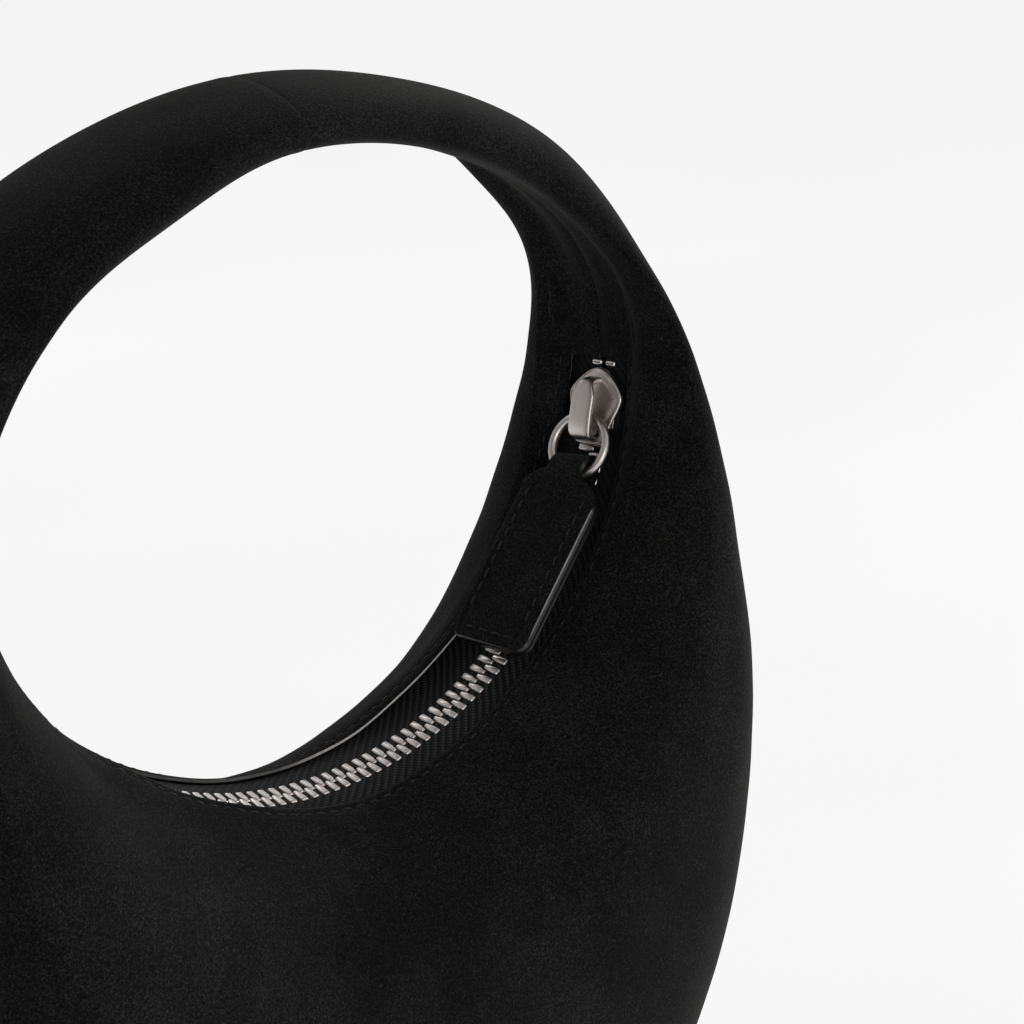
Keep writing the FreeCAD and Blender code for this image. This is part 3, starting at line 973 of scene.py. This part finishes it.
def tab_face():
    middle = tab_loop + tab_layer / 2
    flat = tab_layer / 2 + 0.00003
    bend = 0.0033
    round_low = (tab_neck_end, 0, -middle + 0.0001)
    round_high = (tab_neck_end, 0, middle - 0.0001)
    under = smooth_line([(tab_return, 0, -flat), (bend, 0, -flat - 0.0007), round_low], 14)
    turns = np.linspace(0.1, math.pi - 0.1, 22)
    loop = [Vector((-middle * math.sin(t), 0, -middle * math.cos(t))) for t in turns]
    over = smooth_line([round_high, (bend, 0, flat + 0.0010), (tab_return, 0, tab_crown(tab_return))], 16)
    xs = list(np.linspace(tab_return, tab_end() - tab_corner, 40)[1:])
    xs += [tab_end() - tab_corner * (1 - math.sin(t)) for t in np.linspace(0, math.pi / 2, 16)[1:]]
    path = under + loop + over + [Vector((x, 0, tab_crown(x))) for x in xs]
    near_edge = np.linspace(0.7, 1, 12)[1:]
    shares = np.concatenate([-near_edge[::-1], np.linspace(-0.7, 0.7, 17), near_edge])
    points = np.zeros((len(path), len(shares), 3))
    for i, p in enumerate(path):
        upper = i >= len(under) + len(loop)
        half = tab_half_width(max(p.x, 0)) if upper else tab_neck
        for j, share in enumerate(shares):
            y = half * share
            edge = half - abs(y)
            if upper:
                edge = min(edge, max(tab_end() - p.x, 0))
            drop = 0.0003 * math.exp(-(edge / 0.0005) ** 2)
            if upper and p.x > tab_return:
                drop += 0.0002 * math.exp(-((edge - stitch_inset) / 0.0005) ** 2)
            x = p.x * (loop_stretch + loop_slant * share) if p.x < 0 else p.x
            points[i, j] = (x, y, p.z - drop if upper else p.z)
    spots = np.array(moved(points.reshape(-1, 3), tab_matrix()))
    obj = new_object("pull_tab_suede", spots, grid_faces(*points.shape[:2]), [SUEDE, SMOOTH_LEATHER])
    thicken(obj, tab_layer * 0.95, rim=1, offset=0.0)
    return stands_for(obj, "tab", "suede", "tab_face")


def tab_outline(start, grow):
    """Outline of the tab's back from start; it begins under the suede and grows past its sides and end."""
    end = tab_end() + grow
    tuck = 0.0008
    xs = [start] + list(np.linspace(start, tab_shoulder, 8))[1:]
    xs += list(np.linspace(tab_shoulder, tab_end() - tab_corner, 14))[1:]
    right = [(x, tab_half_width(x) - tuck + (grow + tuck) * float(ease((x - start) / 0.0045))) for x in xs]
    for t in np.linspace(0, math.pi / 2, 10)[1:]:
        x = end - (tab_corner + grow) * (1 - math.sin(t))
        right.append((x, tab_half - tab_corner + (tab_corner + grow) * math.cos(t)))
    left = [(x, -y) for x, y in reversed(right)]
    return right + left


def tab_back():
    """Leather back of the tab; its painted edge rises round the suede and carries a painted highlight, a
    light line along one side of its bend.
    """
    outline = tab_outline(tab_shoulder - 0.0012, tab_edge_grow)
    bend = tab_edge_rise
    levels = rounded_levels(-tab_edge_drop - tab_layer, tab_edge_rise, bend, 8)
    points, faces = stacked(outline, levels)
    last = tab_end() - tab_corner
    # Painted highlight: this mask puts the light line only on one side of the tab, from the shoulder to near
    # the end.
    painted_highlight = [float(ease((x - tab_shoulder) / 0.003) * ease((last - x) / 0.004)) * (y > 0) for x, y in outline]
    pale = []
    for height, _ in levels:
        turn = math.degrees(math.asin(min(1.0, max(0.0, (height - tab_edge_rise + bend) / bend))))
        line = float(bell(turn - 63, 14)) if height > 0 else 0.0
        pale += [line * share for share in painted_highlight]
    spots = np.array(moved(points, tab_matrix()))
    obj = new_object("pull_tab_leather", spots, faces, [EDGE_PAINT, SMOOTH_LEATHER], pale=pale)
    for face in obj.data.polygons:
        if len(face.vertices) > 4:
            face.material_index = 1
    return stands_for(obj, "tab", "tab_leather", "tab_back")


def stitch_shape():
    """A short thread along X that dips into the leather at both ends."""
    points = []
    rings, sides = 9, 8
    for i in range(rings):
        t = i / (rings - 1)
        x = (t - 0.5) * stitch_length
        lift = stitch_radius * (1.25 * math.sin(math.pi * t) ** 0.6 - 0.75)
        r = stitch_radius * (0.55 + 0.45 * math.sin(math.pi * t) ** 0.5)
        for k in range(sides):
            a = 2 * math.pi * k / sides
            points.append((x, r * math.cos(a), lift + r * math.sin(a)))
    return points, tube_faces(rings, sides)


def tab_stitches():
    points, faces = stitch_shape()
    row = tab_half - stitch_inset
    end = tab_end() - stitch_inset
    first = tab_return + stitch_length / 2
    count = int((end - tab_corner - first) / stitch_pitch)
    spots = [(first + stitch_pitch * i, s * row, 0) for s in (1, -1) for i in range(count + 1)]
    across = int((2 * row - tab_corner) / stitch_pitch)
    spots += [(end, stitch_pitch * (i - across / 2), 90) for i in range(across + 1)]
    shapes = []
    for x, y, turn in spots:
        height = tab_crown(x) + tab_layer / 2 - 0.0001
        local = Matrix.Translation((x, y, height)) @ Matrix.Rotation(math.radians(turn), 4, "Z")
        shapes.append((moved(points, tab_matrix() @ local), faces))
    obj = joined("pull_tab_thread", shapes, [THREAD])
    return stands_for(obj, "tab", "thread", "tab_stitching")


def lip_frame(angle, y, side):
    """Matrix on a panel's surface beside the window, with X along the zip and Z out of the suede."""
    angles = angle + np.array([[-0.4], [0.0], [0.4]]) + np.zeros((3, 3))
    turn = turn_at(angles, y + np.array([[-0.0005, 0.0, 0.0005]]), 0)
    points = skin(angles, turn, side, 0)
    normal = grid_normals(points)
    inward = -place(angles, 1.0, 0 * angles) - np.array([0, 0, hole_rise])
    normal *= np.sign((normal * inward).sum(-1, keepdims=True))
    points = points + normal * panel_relief(points, angles, turn, side)[..., None]
    along = Vector(points[2, 1] - points[0, 1]).normalized()
    out = Vector(normal[1, 1])
    out = (out - along * out.dot(along)).normalized()
    m = Matrix((along, out.cross(along), out)).transposed().to_4x4()
    m.translation = Vector(points[1, 1])
    return m


def window_stitches(side, name, node):
    points, faces = stitch_shape()
    step = math.degrees(stitch_pitch / hole_radius)
    count = int((180 + 2 * window_start) / step)
    shapes = []
    for i in range(count):
        angle = window_start - step * (i + 0.5)
        y = float(window_edge(np.array(angle))) + stitch_inset
        shapes.append((moved(points, lip_frame(angle, y, side)), faces))
    obj = joined(name, shapes, [THREAD])
    return stands_for(obj, "bag", "thread", node)


def floor():
    low = cad_box[0].z - 0.002
    size, count = 12.0, 12
    xs = np.linspace(-size, size, count)
    grid = np.array([[(x, y, low) for y in xs] for x in xs])
    obj = new_object("studio_floor", grid, grid_faces(count, count), [floor_material()])


def camera():
    """Camera at the photograph's angle; the hole's centre falls on the named pixel."""
    turn, rise, roll, distance = math.radians(36.0), math.radians(14.0), math.radians(-5.0), 0.70
    pixels_per_metre = 4800.0
    hole_pixel_x, hole_pixel_y = 290.0, 408.0
    image = 1024.0
    sensor = 36.0
    ahead = Vector((math.sin(turn) * math.cos(rise), math.cos(turn) * math.cos(rise), -math.sin(rise)))
    right = Vector((math.cos(turn), -math.sin(turn), 0))
    up = right.cross(ahead)
    right, up = right * math.cos(roll) + up * math.sin(roll), up * math.cos(roll) - right * math.sin(roll)
    focal = pixels_per_metre * distance
    aim = ahead + right * ((image / 2 - hole_pixel_x) / focal) - up * ((image / 2 - hole_pixel_y) / focal)
    aim.normalize()
    side = (right - aim * right.dot(aim)).normalized()
    lift = side.cross(aim)
    data = bpy.data.cameras.new("photo_camera")
    data.sensor_width = sensor
    data.lens = sensor * focal / image
    data.clip_start, data.clip_end = 0.02, 50.0
    cam = bpy.data.objects.new("photo_camera", data)
    m = Matrix((side, lift, -aim)).transposed().to_4x4()
    m.translation = Vector((0, 0, -hole_rise)) - ahead * distance
    cam.matrix_world = m
    bpy.context.scene.collection.objects.link(cam)
    bpy.context.scene.camera = cam


def area_light(name, spot, target, size, power):
    data = bpy.data.lights.new(name, "AREA")
    data.shape = "DISK"
    data.size = size
    data.energy = power
    obj = bpy.data.objects.new(name, data)
    obj.location = spot
    obj.rotation_euler = (Vector(target) - Vector(spot)).to_track_quat("-Z", "Y").to_euler()
    bpy.context.scene.collection.objects.link(obj)


def studio_sky():
    """Soft white surroundings, brighter to the right than to the left."""
    world = bpy.data.worlds.new("studio")
    world.use_nodes = True
    tree = world.node_tree
    where = tree.nodes.new("ShaderNodeTexCoord")
    side = tree.nodes.new("ShaderNodeVectorMath")
    side.operation = "DOT_PRODUCT"
    side.inputs[1].default_value = (0.80, -0.15, 0.10)
    shade = tree.nodes.new("ShaderNodeValToRGB")
    shade.color_ramp.elements[0].position = 0.0
    shade.color_ramp.elements[0].color = (0.46, 0.46, 0.46, 1)
    shade.color_ramp.elements[1].position = 0.9
    shade.color_ramp.elements[1].color = (1, 1, 1, 1)
    tree.links.new(where.outputs["Generated"], side.inputs[0])
    tree.links.new(side.outputs["Value"], shade.inputs["Fac"])
    tree.links.new(shade.outputs["Color"], tree.nodes["Background"].inputs["Color"])
    bpy.context.scene.world = world


def lights():
    centre = (0, 0, -0.12)
    area_light("key_left", (-0.6, -1.4, 0.15), centre, 0.7, 4.0)
    area_light("side_right", (1.2, -0.25, -0.15), centre, 0.7, 10.0)
    area_light("back_top", (0.3, 1.2, 0.9), centre, 0.7, 3.0)
    studio_sky()


suede_panel(-1, "suede_front", "front_panel")
suede_panel(1, "suede_back", "back_panel")
under_suede = suede_thickness + layer_gap
tape = ("zip_tape_cloth_", "zip_tape_", "zip_tape", TWILL, tape_start, tape_rows, tape_cut, "stretched")
bag_lining = ("lining_cloth_", "lining_", "lining_cloth", LINING, lining_top, lining_rows, lining_cut, "hung")
for side, word in ((-1, "front"), (1, "back")):
    layer(word, tape, side, under_suede, tape_thickness)
    layer(word, bag_lining, side, under_suede + lining_gap, lining_thickness)
    teeth(side, "zip_teeth_row_" + word, "zip_teeth_" + word)
    window_stitches(side, "window_thread_" + word, "window_stitching_" + word)
handle_filler()
stops()
slider()
bridge()
ring()
tab_face()
tab_back()
tab_stitches()
floor()
camera()
lights()
bpy.context.scene.view_settings.view_transform = "Standard"
